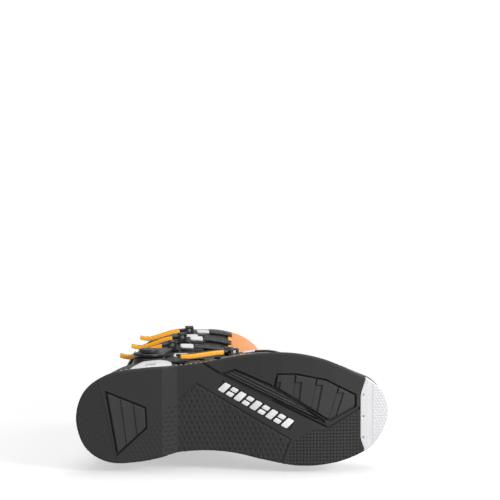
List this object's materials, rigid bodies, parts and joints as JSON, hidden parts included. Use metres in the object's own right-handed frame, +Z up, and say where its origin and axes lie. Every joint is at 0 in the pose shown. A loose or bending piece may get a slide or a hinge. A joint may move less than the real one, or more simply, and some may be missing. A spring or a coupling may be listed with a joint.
{
  "type": "off-road riding boot",
  "caption": "Tall off-road riding boot for the right foot, with a hinged ankle cuff, an opening shin flap, lever buckles and a lugged rubber sole.",
  "frame": {"origin": "on the ground, under the middle of the heel", "axes": "+X to the toe, -Y to the outer side of the foot, +Z up the leg"},
  "size_m": [0.3195, 0.1239, 0.3865],
  "materials": {
    "sole_rubber": "matte moulded rubber with fine tread texture",
    "tread_rubber": "matte, slightly lighter rubber",
    "pale_plastic": "satin white",
    "microfibre": "fine-grained black microfibre",
    "board": "pressed fibre board",
    "steel": "brushed",
    "padding": "knitted lining over foam",
    "collar_fabric": "ribbed elastic fabric",
    "bellows_rubber": "matte folded rubber",
    "shell_plastic": "satin black moulded plastic",
    "strap_plastic": "toothed black strap",
    "grey_plastic": "warm grey moulded plastic",
    "shin_plastic": "satin orange moulded plastic",
    "orange_plastic": "glossy orange"
  },
  "bodies": {
    "foot": {"outsole": "sole_rubber", "heel_tread_insert": "tread_rubber", "forefoot_tread_insert": "tread_rubber", "ribbed_tread_insert": "tread_rubber", "sole_inlay": "pale_plastic", "toe_guard_plate": "pale_plastic", "welt": "microfibre", "midsole_board": "board", "steel_shank": "steel", "footbed": "padding", "foot_upper": "microfibre", "foot_liner": "padding", "toe_cap": "shell_plastic", "heel_counter": "shell_plastic", "heel_guard_plate": "pale_plastic", "outer_foot_guard": "grey_plastic", "inner_foot_guard": "shell_plastic", "ankle_frame_outer": "shell_plastic", "ankle_frame_inner": "shell_plastic", "pivot_bolt_outer": "steel", "pivot_bolt_inner": "steel", "front_bellows": "bellows_rubber", "rear_bellows": "bellows_rubber", "buckle_base_instep": "shell_plastic", "lever_pin_instep": "steel", "strap_instep": "strap_plastic", "strap_end_instep": "pale_plastic"},
    "cuff": {"cuff_shell": "shell_plastic", "cuff_liner": "padding", "collar": "collar_fabric", "calf_plate": "microfibre", "inner_heat_guard": "microfibre", "outer_side_plate": "pale_plastic", "hinge_arm_outer": "shell_plastic", "hinge_arm_inner": "shell_plastic", "pivot_cover_outer": "grey_plastic", "pivot_cover_inner": "grey_plastic", "buckle_base_low": "shell_plastic", "buckle_base_mid": "shell_plastic", "buckle_base_high": "shell_plastic", "lever_pin_low": "steel", "lever_pin_mid": "steel", "lever_pin_high": "steel"},
    "shin_flap": {"shin_plate": "shin_plastic", "shin_vent": "shell_plastic", "tongue": "padding", "strap_low": "strap_plastic", "strap_mid": "strap_plastic", "strap_high": "strap_plastic", "strap_end_low": "pale_plastic", "strap_end_mid": "pale_plastic", "strap_end_high": "pale_plastic"},
    "lever_low_body": {"lever_low": "shell_plastic", "lever_trim_low": "orange_plastic"},
    "lever_mid_body": {"lever_mid": "shell_plastic", "lever_trim_mid": "orange_plastic"},
    "lever_high_body": {"lever_high": "shell_plastic", "lever_trim_high": "orange_plastic"},
    "lever_instep_body": {"lever_instep": "shell_plastic", "lever_trim_instep": "orange_plastic"}
  },
  "joints": [
    {"name": "ankle_flex", "type": "hinge", "parent": "foot", "child": "cuff", "pos_m": [0.018, 0, 0.112], "axis": [0, 1, 0], "range_deg": [-12, 20], "deforming": ["front_bellows", "rear_bellows"]},
    {"name": "flap_open", "type": "hinge", "parent": "cuff", "child": "shin_flap", "pos_m": [0.097, 0.0505, 0.27], "axis": [0, 0.0593, 0.9982], "range_deg": [0, 35]},
    {"name": "lever_low_lift", "type": "hinge", "parent": "cuff", "child": "lever_low_body", "pos_m": [0.039, -0.0554, 0.196], "axis": [-0.0698, 0, 0.9976], "range_deg": [0, 100]},
    {"name": "lever_mid_lift", "type": "hinge", "parent": "cuff", "child": "lever_mid_body", "pos_m": [0.048, -0.05973, 0.248], "axis": [-0.0698, 0, 0.9976], "range_deg": [0, 100]},
    {"name": "lever_high_lift", "type": "hinge", "parent": "cuff", "child": "lever_high_body", "pos_m": [0.054, -0.06298, 0.304], "axis": [-0.0698, 0, 0.9976], "range_deg": [0, 100]},
    {"name": "lever_instep_lift", "type": "hinge", "parent": "foot", "child": "lever_instep_body", "pos_m": [0.108, -0.05865, 0.084], "axis": [-0.342, 0, 0.9397], "range_deg": [0, 100]}
  ]
}
